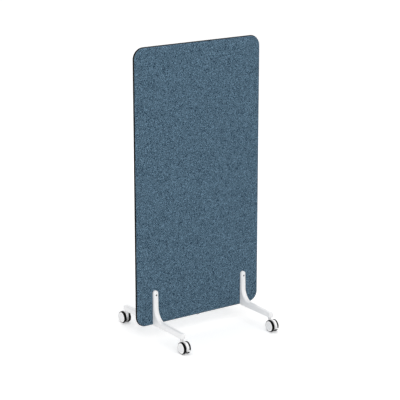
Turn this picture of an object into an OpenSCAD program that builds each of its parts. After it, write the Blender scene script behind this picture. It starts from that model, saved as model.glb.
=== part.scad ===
// Rolling partition: an upholstered screen panel with a zip round its edge,
// on four cast feet with twin-wheel swivel castors that carry a foot brake.
// +X runs along the panel, -Y is its front, +Z is up. The origin lies on the
// floor below the middle of the panel.

/* [Panel] */
// Width of the panel over its covers
panel_w = 800; // [500:10:1200]
// Height of the panel over its covers
panel_h = 1500; // [900:10:1900]
// Thickness of the panel over its covers
panel_t = 30; // [28:1:40]
// Radius of the panel's corners
corner_r = 60; // [50:5:140]
// Thickness of the fabric cover
cover_t = 1; // [0.8:0.1:1.6]
// Thickness of the wadding under each cover
wadding_t = 3; // [2:0.5:4]

/* [Frame] */
// Width of the frame's stiles and rails
frame_w = 45; // [40:1:55]
// Diameter of the dowels in the frame's corners
corner_dowel_d = 8; // [6:0.5:10]
// Length of the dowels in the frame's corners
corner_dowel_len = 36; // [30:2:40]
// Width of timber beside each foot's fasteners
block_margin = 10; // [6:1:14]

/* [Zip] */
// Width of the strip that both zip tapes fill
zip_w = 13; // [10:0.5:16]
// Thickness of a zip tape
tape_t = 0.6; // [0.4:0.1:0.9]
// Width of the closed chain of teeth
chain_w = 5; // [4:0.5:7]
// Height of the closed chain above the tapes
chain_t = 1.2; // [0.8:0.1:1.6]

/* [Feet] */
// Distance from the start of the panel's round corner to the middle of a foot
foot_inset = 51; // [30:1:120]
// Height of a foot's underside above the panel's lower edge
foot_lift = 1; // [0:0.5:4]
// Width of a foot
foot_w = 28; // [24:1:40]
// Height of a foot's upright above the panel's lower edge
upright_h = 195; // [160:5:260]
// Thickness of the upright at its top
upright_top_t = 15; // [14:0.5:22]
// Thickness of the upright where the elbow starts
upright_root_t = 18; // [17:0.5:26]
// Radius of the elbow between upright and arm
elbow_r = 70; // [50:1:90]
// Height of the arm at the elbow
arm_root_h = 30; // [28:1:40]
// Slope of the arm's top in degrees
arm_slope = 1; // [0.5:0.5:5]
// Length of the foot's toe past the swivel axis
toe_len = 21; // [18:1:30]
// Radius of the nose's corners seen from above
nose_r = 11; // [8:0.5:12]
// Radius of the nose seen from the side
nose_drop_r = 14; // [10:0.5:16]
// Width of the bevel along the foot's outer edges
foot_bevel = 5; // [2:0.5:6]
// Wall of the casting beside and above its hollow underside
casting_wall = 4.5; // [4:0.5:6]
// Length of solid casting between the elbow and the hollow underside
heel_wall = 12; // [8:1:20]
// Wall of the casting round the castor's stem
stem_wall = 6; // [5:0.5:8]

/* [Foot fasteners] */
// Distance of the clamping bolt below the top of the upright
bolt_drop = 24; // [20:1:40]
// Diameter of the clamping bolt
bolt_d = 6; // [5:0.5:6]
// Diameter of the sleeve nut's barrel
sleeve_d = 7.6; // [7.5:0.1:8]
// Diameter of the heads of bolt and sleeve nut
head_d = 9; // [8.5:0.5:11]
// Height of those heads
head_h = 4.5; // [3:0.5:5]
// Height of the locating pin above the panel's lower edge
pin_h = 25; // [20:1:30]
// Diameter of the locating pin
pin_d = 8; // [6:0.5:10]
// Depth of the locating pin in each foot
pin_depth = 9; // [7:0.5:12]

/* [Castors] */
// Distance of each swivel axis from the panel's mid plane
swivel_y = 267; // [240:1:320]
// Distance from the swivel axis to the wheel axle
trail = 23; // [21:0.5:25]
// Outer diameter of a tyre
wheel_d = 65; // [58:0.5:75]
// Width of each wheel
wheel_w = 14; // [12:0.5:18]
// Width of the hood between the wheels
hood_w = 14; // [13:0.5:18]
// Diameter of the axle
axle_d = 6; // [5:0.5:7]
// Thickness of the tyre's tread
tread_t = 4; // [3:0.5:5]
// Radius of the tyre's outer shoulder
shoulder_r = 3.6; // [2:0.2:6]
// Diameter of the cap in the hub's outer face
cap_d = 38; // [30:1:44]
// Diameter of the threaded stem
stem_d = 10; // [8:1:12]
// Length of the threaded stem in the foot
stem_len = 13; // [10:0.5:14]
// Diameter of the collar between hood and foot
collar_d = 20; // [16:0.5:24]
// Height of the collar between the hood's neck and the foot
collar_h = 5.2; // [4:0.2:24]
// Diameter of the hood's neck under that collar
neck_d = 18; // [16:0.5:19]
// Height of the hood's neck
neck_h = 6; // [3:0.5:10]
// Diameter of the swivel pin
swivel_pin_d = 8; // [7:0.5:9]
// Length of the swivel pin in the hood
swivel_pin_len = 20; // [14:0.5:22]
// Turn of the brake lever from off to on, in degrees
brake_turn = 12; // [6:1:14]
// Distance from the axle to the end of the brake pedal
pedal_reach = 53; // [51:1:56]

/* [Hidden] */
$fn = 64;

// Clearances
fit = 0.05;                     // radial play of a shaft in its bore
seam = 0.3;                     // play between parts that lie side by side
hood_play = 1;                  // play between the hood and each wheel
over = 1;                       // how far a cutter runs past the face it cuts

// Colours
timber = [0.80, 0.66, 0.46];
felt = [0.86, 0.86, 0.84];
fabric_blue = [0.30, 0.40, 0.46];
tape_black = [0.16, 0.16, 0.16];
coat_white = [0.95, 0.95, 0.95];
dark_steel = [0.14, 0.14, 0.15];
zinc = [0.62, 0.63, 0.65];
rubber_black = [0.05, 0.05, 0.05];
cap_grey = [0.84, 0.85, 0.86];

// Castor heights, from the floor up to the panel's lower edge
wheel_r = wheel_d / 2;
hood_top = wheel_d + 0.5;
collar_base = hood_top + neck_h + seam;
foot_base = collar_base + collar_h;
floor_gap = foot_base - foot_lift;

// Panel, in layers from its mid plane outwards
edge_r = panel_t / 2;
cover_in = edge_r - cover_t;
frame_r = cover_in - wadding_t;
panel_z = floor_gap + panel_h / 2;
straight_w = panel_w - 2 * corner_r;
straight_h = panel_h - 2 * corner_r;
member_mid = edge_r - frame_r + frame_w / 2;
bay_w = panel_w - 2 * (edge_r - frame_r + frame_w);
bay_h = panel_h - 2 * (edge_r - frame_r + frame_w);

// Zip and its slider, which straddles the chain; heights run outwards from the tapes
chain_r = cover_in + tape_t;
slider_len = 16;
slider_tail_w = chain_w + 2;
slider_head_w = chain_w + 4;
slider_t = 1.2;
bridge_len = 10;
bridge_w = 2.4;
bridge_h = 2.8;
bridge_t = 1;

// Foot, drawn in a side view: the first axis runs outwards from the mid plane
foot_x = straight_w / 2 - foot_inset;
foot_reach = swivel_y + toe_len;
deep = foot_reach + upright_h;  // longer than any foot or castor
upright_top = floor_gap + upright_h;
upright_lean = atan((upright_root_t - upright_top_t) / (upright_h - arm_root_h - elbow_r));
elbow_y = edge_r + upright_root_t + elbow_r;
elbow_z = foot_base + arm_root_h + elbow_r;
elbow_up = [elbow_y - elbow_r * cos(upright_lean), elbow_z - elbow_r * sin(upright_lean)];
elbow_low = [elbow_y - elbow_r * sin(arm_slope), elbow_z - elbow_r * cos(arm_slope)];
function arm_top(y) = elbow_low[1] - (y - elbow_low[0]) * tan(arm_slope);
function upright_face(z) = elbow_up[0] - (z - elbow_up[1]) * tan(upright_lean);
nose_over = 0.2;
nose_rise = 0.1;
nose_y = foot_reach - nose_drop_r + nose_over;
nose_z = arm_top(nose_y) - nose_drop_r + nose_rise;
sweep_depth = 2 * (elbow_r + arm_root_h);
sweep_lap = 20;
sweep_rise = 0.05;
crown_z = upright_top - foot_w / 2;
crown_rise = (crown_z - elbow_z + elbow_r * sin(upright_lean)) / cos(upright_lean);
crown_play = 0.02;
crown_lap = 2;
pocket_start = edge_r + upright_root_t + heel_wall;
pocket_end = swivel_y - stem_d / 2 - stem_wall;
rib_t = 2.5;
rib_count = 5;
rib_pitch = (pocket_end - pocket_start) / (rib_count + 1);

// Fasteners, and the timber posts that they go through
bolt_z = upright_top - bolt_drop;
bolt_sink = 0.6;
bolt_seat = upright_face(bolt_z) - head_h - bolt_sink;
bolt_tip = 8;
thread_run = 2;
pin_z = floor_gap + pin_h;
pin_end = edge_r + pin_depth;
socket_af = 4;
socket_depth = 3;
post_half_w = foot_w / 2 + block_margin;
post_base = panel_z - bay_h / 2;
post_rise = 19;
post_top = upright_top + post_rise;

// Castor, drawn with its swivel axis at the origin and the wheels trailing along +Y
wheel_in = hood_w / 2 + hood_play;
hub_r = wheel_r - tread_t;
rim_t = 3.5;
drum_r = hub_r - rim_t;
drum_depth = wheel_w / 2;
web_t = 4;
boss_wall = 4.5;
boss_r = axle_d / 2 + boss_wall;
cap_r = cap_d / 2;
cap_depth = wheel_w - drum_depth - web_t;
tread_groove_d = 1.5;
tread_groove_w = 6;
axle_head = 1;
axle_head_d = axle_d + 3.6;
axle_end = wheel_in + drum_depth + web_t + 2 * fit + axle_head;
hood_shift = 2;
hood_r = wheel_r + 3;
hood_skin = 3.5;
hood_base = wheel_r - 8.5;
hood_chin = 5;
hood_front = 10;
hood_neck = 12;
pin_bottom = hood_top + seam - swivel_pin_len;

// Brake lever, drawn about the axle: the first axis runs outwards, the second up.
// The pads swing about the pivot, outwards, until they stop just short of the drums.
hood_wall = 3;
slot_w = hood_w - 2 * hood_wall;
lever_play = 0.5;
lever_w = slot_w - 2 * lever_play;
slot_start = 2;
slot_core = 4;
slot_rise = 2.5;
pad_r = 2.4;
pad_boss_r = 3.8;
pivot_boss_r = 4.5;
pad_to_pivot = [7.3, -6.4];
pad_swing = norm(pad_to_pivot) * brake_turn * PI / 180;
pad_at = (drum_r - pad_r - seam - pad_swing) * [cos(45), sin(45)];
pad_mid = pad_at + [-pad_to_pivot[1], pad_to_pivot[0]] * pad_swing / 2 / norm(pad_to_pivot);
pad_play = 1.5;
pad_len = wheel_in + drum_depth - pad_play;
pivot_at = pad_at + pad_to_pivot;
pivot_d = 4;
pivot_skin = 0.8;
pivot_len = hood_w - 2 * pivot_skin;
pedal_top = -1.5;
pedal_t = 4;
pedal_r = 4;
pedal_gap = 3.5;
pedal_start = hood_r + hood_shift + pedal_gap;
pedal_neck = 8;
grip_count = 3;
grip_pitch = 2.6;
grip_w = 1.2;
grip_d = 0.5;

// ---------- helpers ----------

// Stands the panel's own plane upright, so that its local +Z faces the front
module in_panel() {
    translate([0, 0, panel_z]) rotate([90, 0, 0]) children();
}

// Repeats its children at all four corners or sides by mirroring
module four_ways() {
    for (mx = [0, 1], my = [0, 1]) {
        mirror([mx, 0, 0]) mirror([0, my, 0]) children();
    }
}

module rounded_rectangle(w, h, r) {
    square([w - 2 * r, h], center = true);
    square([w, h - 2 * r], center = true);
    four_ways() translate([w / 2 - r, h / 2 - r]) circle(r = r);
}

// Half a ring from r_in to r_out, above the height low: the panel edge's section
module ring_section(r_in, r_out, low) {
    intersection() {
        difference() {
            circle(r = r_out);
            if (r_in > 0) circle(r = r_in);
        }
        translate([0, low]) square([r_out, r_out - low]);
    }
}

// Carries a section round the whole edge of the panel
module round_edge() {
    for (half_turn = [0, 180]) rotate([0, 0, half_turn]) {
        translate([panel_w / 2 - edge_r, straight_h / 2, 0]) rotate([90, 0, 0])
            linear_extrude(straight_h) children();
        rotate([0, 0, 90]) translate([panel_h / 2 - edge_r, straight_w / 2, 0]) rotate([90, 0, 0])
            linear_extrude(straight_w) children();
    }
    four_ways() translate([panel_w / 2 - corner_r, panel_h / 2 - corner_r, 0])
        rotate_extrude(angle = 90) translate([corner_r - edge_r, 0]) children();
}

// One layer of upholstery on the front half, between two distances from the mid plane
module front_skin(r_in, r_out, low) {
    round_edge() ring_section(r_in, r_out, low);
    translate([0, 0, r_in]) linear_extrude(r_out - r_in)
        rounded_rectangle(panel_w - 2 * edge_r, panel_h - 2 * edge_r, corner_r - edge_r);
}

module at_feet() {
    for (side = [-1, 1]) translate([side * foot_x, 0, 0]) children();
}

// A round bar along Y, from one distance from the mid plane to another
module cross_bar(d, from, to) {
    translate([0, from, 0]) rotate([-90, 0, 0]) cylinder(d = d, h = to - from);
}

module foot_holes(play) {
    at_feet() {
        translate([0, 0, bolt_z]) cross_bar(sleeve_d + 2 * play, -edge_r - over, edge_r + over);
        translate([0, 0, pin_z]) cross_bar(pin_d + 2 * play, -edge_r - over, edge_r + over);
    }
}

// ---------- panel frame ----------

// Section of a frame member: a board with a half-round outer edge
module frame_section() {
    translate([-frame_w + frame_r, -frame_r]) square([frame_w - frame_r, 2 * frame_r]);
    ring_section(0, frame_r, -frame_r);
}

// The dowels across both joints of each corner, or with some play the holes for them
module corner_joints(play) {
    len = corner_dowel_len + 2 * play;
    four_ways() {
        translate([panel_w / 2 - member_mid, (straight_h - len) / 2, 0])
            rotate([-90, 0, 0]) cylinder(d = corner_dowel_d + 2 * play, h = len);
        translate([(straight_w - len) / 2, panel_h / 2 - member_mid, 0])
            rotate([0, 90, 0]) cylinder(d = corner_dowel_d + 2 * play, h = len);
    }
}

module stile() {
    color(timber) in_panel() difference() {
        translate([panel_w / 2 - edge_r, straight_h / 2, 0]) rotate([90, 0, 0])
            linear_extrude(straight_h) frame_section();
        corner_joints(fit);
    }
}

module rail() {
    difference() {
        rotate([0, 0, 90]) translate([panel_h / 2 - edge_r, straight_w / 2, 0]) rotate([90, 0, 0])
            linear_extrude(straight_w) frame_section();
        corner_joints(fit);
    }
}

module top_rail() {
    color(timber) in_panel() rail();
}

module bottom_rail() {
    color(timber) difference() {
        in_panel() mirror([0, 1, 0]) rail();
        foot_holes(fit);
    }
}

// Quarter-round blocks that carry the frame's edge round the corners
module corner_blocks() {
    color(timber) in_panel() difference() {
        four_ways() translate([straight_w / 2, straight_h / 2, 0]) rotate_extrude(angle = 90) {
            translate([0, -frame_r]) square([corner_r - edge_r, 2 * frame_r]);
            translate([corner_r - edge_r, 0]) ring_section(0, frame_r, -frame_r);
        }
        corner_joints(fit);
    }
}

module corner_dowels() {
    color(timber) in_panel() corner_joints(0);
}

// Posts on the bottom rail, which take the pull of the feet's bolts
module foot_blocks() {
    color(timber) difference() {
        at_feet() translate([-post_half_w, -frame_r, post_base])
            cube([2 * post_half_w, 2 * frame_r, post_top - post_base]);
        foot_holes(fit);
    }
}

module core_board() {
    post_gap = post_half_w + seam;
    color(felt) in_panel() translate([0, 0, -frame_r]) linear_extrude(2 * frame_r) difference() {
        square([bay_w - 2 * seam, bay_h - 2 * seam], center = true);
        four_ways() translate([straight_w / 2 - seam, straight_h / 2 - seam]) square(corner_r);
        for (side = [-1, 1]) translate([side * foot_x - post_gap, -bay_h / 2])
            square([2 * post_gap, post_top - post_base + seam]);
    }
}

// ---------- upholstery ----------

module wadding() {
    color(felt) difference() {
        in_panel() front_skin(frame_r, cover_in, seam / 2);
        foot_holes(fit);
    }
}

module cover() {
    color(fabric_blue) difference() {
        in_panel() front_skin(cover_in, edge_r, zip_w / 2);
        foot_holes(fit);
    }
}

module zip_tape() {
    color(tape_black) in_panel() round_edge() intersection() {
        ring_section(cover_in + fit, chain_r, 1);
        square([edge_r, zip_w / 2]);
    }
}

module zip_chain() {
    color(tape_black) in_panel() round_edge() intersection() {
        ring_section(chain_r, chain_r + chain_t, -chain_w / 2);
        translate([0, -chain_w / 2]) square([2 * edge_r, chain_w]);
    }
}

// The slider's body seen from outside: wide at the head, where the tapes part
module slider_plan() {
    polygon([
        [-slider_len / 2, -slider_tail_w / 2], [0, -slider_tail_w / 2],
        [slider_len / 3, -slider_head_w / 2], [slider_len / 2, -slider_head_w / 2],
        [slider_len / 2, slider_head_w / 2], [slider_len / 3, slider_head_w / 2],
        [0, slider_tail_w / 2], [-slider_len / 2, slider_tail_w / 2]
    ]);
}

// The bridge that a hooked tool pulls the slider by, seen from its side
module slider_bridge() {
    difference() {
        union() {
            translate([-bridge_len / 2, 0]) square([bridge_len, bridge_h - bridge_t]);
            translate([-bridge_len / 2 + bridge_t, 0]) square([bridge_len - 2 * bridge_t, bridge_h]);
            for (side = [-1, 1]) translate([side * (bridge_len / 2 - bridge_t), bridge_h - bridge_t])
                circle(r = bridge_t);
        }
        translate([-bridge_len / 2 + bridge_t, -over])
            square([bridge_len - 2 * bridge_t, bridge_h - bridge_t + over]);
    }
}

// The slider sits under the panel's lower edge, astride the chain, and has no pull tab
module zip_slider() {
    roof = chain_r + chain_t + seam;
    color(zinc) translate([0, 0, floor_gap + edge_r]) mirror([0, 0, 1]) {
        difference() {
            translate([0, 0, chain_r]) linear_extrude(roof + slider_t - chain_r) slider_plan();
            translate([-slider_len / 2 - over, -chain_w / 2 - seam, chain_r - over])
                cube([slider_len + 2 * over, chain_w + 2 * seam, roof - chain_r + over]);
        }
        translate([0, bridge_w / 2, roof + slider_t]) rotate([90, 0, 0])
            linear_extrude(bridge_w) slider_bridge();
    }
}

// ---------- feet ----------

// The space that the foot may fill, seen from the side, with the fall of its nose
module foot_side_view() {
    intersection() {
        translate([edge_r, foot_base]) square(deep);
        union() {
            square([nose_y, foot_base + deep]);
            square([foot_reach + over, nose_z]);
            translate([nose_y, nose_z]) circle(r = nose_drop_r);
        }
    }
}

// The arm seen from above, with its rounded nose
module foot_plan() {
    translate([-foot_w / 2, 0]) square([foot_w, foot_reach - nose_r]);
    translate([-foot_w / 2 + nose_r, 0]) square([foot_w - 2 * nose_r, foot_reach]);
    for (side = [-1, 1]) translate([side * (foot_w / 2 - nose_r), foot_reach - nose_r]) circle(r = nose_r);
}

// The upright seen from the front, with its half-round top
module foot_front_view() {
    translate([-foot_w / 2, 0]) square([foot_w, crown_z]);
    translate([0, crown_z]) circle(d = foot_w);
}

// Extrudes a side view across the foot, symmetric about its middle
module across(w) {
    rotate([90, 0, 90]) translate([0, 0, -w / 2]) linear_extrude(w) children();
}

// Section that the foot's outer face is swept from: distance from the elbow's centre
// along x, place across the foot along y, with a bevel towards each flank
module face_section() {
    flat = foot_w / 2 - foot_bevel;
    flank = foot_w / 2 + over;
    polygon([
        [elbow_r, -flat], [elbow_r + foot_bevel + over, -flank], [elbow_r + sweep_depth, -flank],
        [elbow_r + sweep_depth, flank], [elbow_r + foot_bevel + over, flank], [elbow_r, flat]
    ]);
}

// Puts its children at the elbow's centre, in the side view, turned from the outward direction
module in_elbow(turn) {
    translate([0, elbow_y, elbow_z]) rotate([90, 0, 90]) rotate([0, 0, turn]) children();
}

// The outer face runs up the upright, round the elbow and out along the arm. Both straight
// stretches lap into the elbow and stand a hair in front of it, where they would just touch.
module swept_face() {
    in_elbow(180 + upright_lean) {
        rotate_extrude(angle = 90 - upright_lean - arm_slope, $fn = 128) face_section();
        translate([-sweep_rise, sweep_lap, 0]) rotate([90, 0, 0])
            linear_extrude(deep) face_section();
    }
    in_elbow(270 - arm_slope) translate([-sweep_rise, deep - sweep_lap, 0]) rotate([90, 0, 0])
        linear_extrude(deep) face_section();
}

// Cuts the bevel round the half-round top of the upright, in line with the flanks' bevels.
// Its cone stands a hair outside them, so that it crosses them and doesn't just touch.
module crown_bevel() {
    flat = foot_w / 2 - foot_bevel + crown_play;
    wide = foot_bevel + 2 * over;
    in_elbow(180 + upright_lean) translate([elbow_r - sweep_rise, -crown_rise, 0])
        rotate([0, 90, 0]) rotate([0, 0, 180 - crown_lap])
            rotate_extrude(angle = 180 + 2 * crown_lap)
                polygon([[flat - over, -over], [flat + wide, -over], [flat + wide, wide]]);
}

// Hollow underside of the arm, left open below, with cross ribs between its walls
module foot_pocket() {
    inner = foot_w - 2 * casting_wall;
    difference() {
        across(inner) polygon([
            [pocket_start, foot_base - over], [pocket_end, foot_base - over],
            [pocket_end, arm_top(pocket_end) - casting_wall],
            [elbow_low[0], arm_top(elbow_low[0]) - casting_wall],
            [pocket_start, arm_top(elbow_low[0]) - casting_wall]
        ]);
        for (i = [1 : rib_count])
            translate([-foot_w / 2, pocket_start + i * rib_pitch, foot_base])
                cube([foot_w, rib_t, arm_root_h]);
    }
}

module back_foot() {
    color(coat_white) difference() {
        intersection() {
            swept_face();
            across(foot_w) foot_side_view();
            linear_extrude(deep) foot_plan();
            translate([0, deep, 0]) rotate([90, 0, 0]) linear_extrude(deep) foot_front_view();
        }
        crown_bevel();
        foot_pocket();
        translate([0, 0, bolt_z]) {
            cross_bar(sleeve_d + 4 * fit, edge_r - over, deep);
            cross_bar(head_d + 4 * fit, bolt_seat, deep);
        }
        translate([0, 0, pin_z]) cross_bar(pin_d + 2 * fit, edge_r - over, pin_end + seam);
        translate([0, swivel_y, foot_base - over]) cylinder(d = stem_d + 2 * fit, h = stem_len + over + seam);
    }
}

module foot(side_x, front) {
    translate([side_x * foot_x, 0, 0]) mirror([0, front, 0]) back_foot();
}

module hex_socket(af, depth) {
    cylinder(d = af / cos(30), h = depth, $fn = 6);
}

// Bolts enter from the front and screw into the sleeve nuts
module foot_bolts() {
    color(dark_steel) at_feet() translate([0, 0, bolt_z]) difference() {
        union() {
            cross_bar(bolt_d, -bolt_seat, bolt_tip);
            cross_bar(head_d, -bolt_seat - head_h, -bolt_seat);
        }
        translate([0, -bolt_seat - head_h, 0]) rotate([-90, 0, 0]) translate([0, 0, -over])
            hex_socket(socket_af, socket_depth + over);
    }
}

module foot_sleeve_nuts() {
    color(dark_steel) at_feet() translate([0, 0, bolt_z]) difference() {
        union() {
            cross_bar(sleeve_d, -bolt_tip, bolt_seat);
            cross_bar(head_d, bolt_seat, bolt_seat + head_h);
        }
        cross_bar(bolt_d + 2 * fit, -bolt_tip - over, bolt_tip + thread_run);
        translate([0, bolt_seat + head_h, 0]) rotate([90, 0, 0]) translate([0, 0, -over])
            hex_socket(socket_af, socket_depth + over);
    }
}

// Pins that keep the feet from turning about their bolts
module foot_pins() {
    color(zinc) at_feet() translate([0, 0, pin_z]) cross_bar(pin_d, -pin_end, pin_end);
}

// ---------- castors ----------

// Puts a castor on the end of its foot: side_x is -1 or 1, front is 1 on the front feet
module castor_at(side_x, front) {
    translate([side_x * foot_x, 0, 0]) mirror([0, front, 0]) translate([0, swivel_y, 0]) children();
}

module at_axle() {
    translate([0, trail, wheel_r]) children();
}

// Turns a revolved wheel part so that it stands on the axle, its outer face along side (-1 or 1)
module on_axle(side) {
    at_axle() mirror([side < 0 ? 1 : 0, 0, 0]) translate([wheel_in, 0, 0]) rotate([0, 90, 0])
        rotate_extrude() children();
}

module castor_stem() {
    translate([0, 0, foot_base]) cylinder(d = stem_d, h = stem_len);
    translate([0, 0, collar_base]) cylinder(d = collar_d, h = foot_base - collar_base);
    translate([0, 0, pin_bottom]) cylinder(d = swivel_pin_d, h = foot_base - pin_bottom);
}

module castor_stems() {
    color(zinc) for (side_x = [-1, 1], front = [0, 1]) castor_at(side_x, front) castor_stem();
}

// Brake slot inside the hood, drawn about the axle: open to the rear and below, closed above
module brake_slot() {
    difference() {
        intersection() {
            translate([hood_shift, 0]) circle(r = hood_r - hood_skin);
            translate([slot_start, -wheel_r]) square([hood_r + over, 2 * wheel_r]);
        }
        circle(r = boss_r + slot_core);
    }
    translate([boss_r + slot_core, -wheel_r]) square([hood_r, wheel_r + pedal_top + slot_rise]);
}

module hood_side_view() {
    intersection() {
        translate([trail + hood_shift, wheel_r]) circle(r = hood_r);
        translate([trail - hood_neck, hood_base])
            square([hood_neck + hood_shift + hood_r, hood_top - hood_base]);
    }
    polygon([
        [-hood_front, hood_top], [-hood_front, pin_bottom - hood_chin],
        [trail - hood_neck, hood_base], [trail, hood_base], [trail, hood_top]
    ]);
}

module hood() {
    color(coat_white) difference() {
        union() {
            intersection() {
                across(hood_w) hood_side_view();
                linear_extrude(deep) {
                    translate([0, -hood_front + hood_w / 2]) circle(d = hood_w);
                    translate([-hood_w / 2, -hood_front + hood_w / 2]) square([hood_w, deep]);
                }
            }
            translate([0, 0, hood_top]) cylinder(d = neck_d, h = neck_h);
        }
        translate([0, 0, pin_bottom - seam]) cylinder(d = swivel_pin_d + 2 * fit, h = deep);
        at_axle() {
            across(2 * hood_w) circle(d = axle_d + 2 * fit);
            across(slot_w) brake_slot();
            across(pivot_len + 2 * seam) translate(pivot_at) circle(d = pivot_d + 2 * fit);
            across(2 * hood_w) translate(pad_mid) circle(r = pad_r + pad_swing / 2 + seam);
        }
    }
}

module axle() {
    color(zinc) at_axle() rotate([0, 90, 0]) {
        cylinder(d = axle_d, h = 2 * axle_end, center = true);
        for (side = [-1, 1]) translate([0, 0, side * (axle_end - axle_head / 2)])
            cylinder(d = axle_head_d, h = axle_head, center = true);
    }
}

// The pedal's arm, with its round bosses for the pivot and the pads
module lever_side_view() {
    neck = pedal_start - pedal_neck;
    translate(pivot_at) circle(r = pivot_boss_r);
    translate(pad_at) circle(r = pad_boss_r);
    polygon([
        pad_at + [-2.6, -2.8], pivot_at + [-3, -3.2], [neck, pedal_top - pedal_t],
        [pedal_start + 1, pedal_top - pedal_t], [pedal_start + 1, pedal_top], [neck + 1, pedal_top],
        pivot_at + [3.2, 3], pad_at + [2.8, 2.6]
    ]);
}

// The pedal seen from above
module pedal_plan() {
    translate([-hood_w / 2, pedal_start]) square([hood_w, pedal_reach - pedal_start - pedal_r]);
    translate([-hood_w / 2 + pedal_r, pedal_start]) square([hood_w - 2 * pedal_r, pedal_reach - pedal_start]);
    for (side = [-1, 1])
        translate([side * (hood_w / 2 - pedal_r), pedal_reach - pedal_r]) circle(r = pedal_r);
}

// The lever turns in the hood's walls; its two side pads swing out against the hubs' drums
module brake_lever() {
    color(coat_white) at_axle() {
        across(lever_w) lever_side_view();
        across(pivot_len) translate(pivot_at) circle(d = pivot_d);
        across(2 * pad_len) translate(pad_at) circle(r = pad_r);
        difference() {
            translate([0, 0, pedal_top - pedal_t]) linear_extrude(pedal_t) pedal_plan();
            for (i = [1 : grip_count])
                translate([-hood_w / 2 - over, pedal_reach - pedal_r / 2 - i * grip_pitch, pedal_top - grip_d])
                    cube([hood_w + 2 * over, grip_w, grip_d + over]);
        }
    }
}

// Sections below are drawn with the radius along x and the width along y, inner face at 0
module hub_section() {
    rim_round = 0.8;
    difference() {
        square([hub_r, wheel_w]);
        square([axle_d / 2 + fit, wheel_w]);
        translate([boss_r, -over]) square([drum_r - boss_r, drum_depth + over]);
        translate([0, wheel_w - cap_depth]) square([cap_r + seam, cap_depth + over]);
        translate([hub_r - tread_groove_d, (wheel_w - tread_groove_w) / 2])
            square([tread_groove_d + over, tread_groove_w]);
        translate([hub_r - rim_round, wheel_w - rim_round]) corner_cut(rim_round);
    }
}

// What rounding takes off a corner, drawn from the middle of the round
module corner_cut(r) {
    difference() {
        square(r + over);
        circle(r = r);
    }
}

module tyre_section() {
    inner_round = 1.8;
    difference() {
        translate([hub_r, 0]) square([tread_t, wheel_w]);
        translate([wheel_r - shoulder_r, wheel_w - shoulder_r]) corner_cut(shoulder_r);
        translate([wheel_r - inner_round, inner_round]) mirror([0, 1]) corner_cut(inner_round);
    }
    translate([hub_r - tread_groove_d, (wheel_w - tread_groove_w) / 2])
        square([tread_groove_d + over, tread_groove_w]);
}

module cap_section() {
    seat = wheel_w - cap_depth + 2 * fit;
    skirt = 1.8;
    crown = 0.2;
    shoulder = 1;
    under = seat + axle_head + seam;
    polygon([
        [0, under], [cap_r - skirt, under], [cap_r - skirt, seat], [cap_r, seat],
        [cap_r, wheel_w - 4 * crown], [cap_r - shoulder, wheel_w - crown], [0, wheel_w + crown]
    ]);
}

module wheel_hub(side) {
    color(coat_white) on_axle(side) hub_section();
}

module wheel_tyre(side) {
    color(rubber_black) on_axle(side) tyre_section();
}

module wheel_cap(side) {
    color(cap_grey) on_axle(side) cap_section();
}

// ---------- nodes ----------

mirror([1, 0, 0]) stile();  // left_stile
stile();  // right_stile
top_rail();
bottom_rail();
corner_blocks();
foot_blocks();
core_board();
corner_dowels();
wadding();  // front_wadding
mirror([0, 1, 0]) wadding();  // back_wadding
cover();  // front_cover
mirror([0, 1, 0]) cover();  // back_cover
zip_tape();  // front_zip_tape
mirror([0, 1, 0]) zip_tape();  // back_zip_tape
zip_chain();
zip_slider();
foot(-1, 1);  // front_left_foot
foot(1, 1);  // front_right_foot
foot(-1, 0);  // back_left_foot
foot(1, 0);  // back_right_foot
foot_bolts();
foot_sleeve_nuts();
foot_pins();
castor_stems();

castor_at(-1, 1) hood();  // front_left_hood
castor_at(-1, 1) axle();  // front_left_axle
castor_at(-1, 1) brake_lever();  // front_left_brake_lever
castor_at(-1, 1) wheel_hub(-1);  // front_left_outer_hub
castor_at(-1, 1) wheel_tyre(-1);  // front_left_outer_tyre
castor_at(-1, 1) wheel_cap(-1);  // front_left_outer_cap
castor_at(-1, 1) wheel_hub(1);  // front_left_inner_hub
castor_at(-1, 1) wheel_tyre(1);  // front_left_inner_tyre
castor_at(-1, 1) wheel_cap(1);  // front_left_inner_cap

castor_at(1, 1) hood();  // front_right_hood
castor_at(1, 1) axle();  // front_right_axle
castor_at(1, 1) brake_lever();  // front_right_brake_lever
castor_at(1, 1) wheel_hub(1);  // front_right_outer_hub
castor_at(1, 1) wheel_tyre(1);  // front_right_outer_tyre
castor_at(1, 1) wheel_cap(1);  // front_right_outer_cap
castor_at(1, 1) wheel_hub(-1);  // front_right_inner_hub
castor_at(1, 1) wheel_tyre(-1);  // front_right_inner_tyre
castor_at(1, 1) wheel_cap(-1);  // front_right_inner_cap

castor_at(-1, 0) hood();  // back_left_hood
castor_at(-1, 0) axle();  // back_left_axle
castor_at(-1, 0) brake_lever();  // back_left_brake_lever
castor_at(-1, 0) wheel_hub(-1);  // back_left_outer_hub
castor_at(-1, 0) wheel_tyre(-1);  // back_left_outer_tyre
castor_at(-1, 0) wheel_cap(-1);  // back_left_outer_cap
castor_at(-1, 0) wheel_hub(1);  // back_left_inner_hub
castor_at(-1, 0) wheel_tyre(1);  // back_left_inner_tyre
castor_at(-1, 0) wheel_cap(1);  // back_left_inner_cap

castor_at(1, 0) hood();  // back_right_hood
castor_at(1, 0) axle();  // back_right_axle
castor_at(1, 0) brake_lever();  // back_right_brake_lever
castor_at(1, 0) wheel_hub(1);  // back_right_outer_hub
castor_at(1, 0) wheel_tyre(1);  // back_right_outer_tyre
castor_at(1, 0) wheel_cap(1);  // back_right_outer_cap
castor_at(1, 0) wheel_hub(-1);  // back_right_inner_hub
castor_at(1, 0) wheel_tyre(-1);  // back_right_inner_tyre
castor_at(1, 0) wheel_cap(-1);  // back_right_inner_cap
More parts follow.
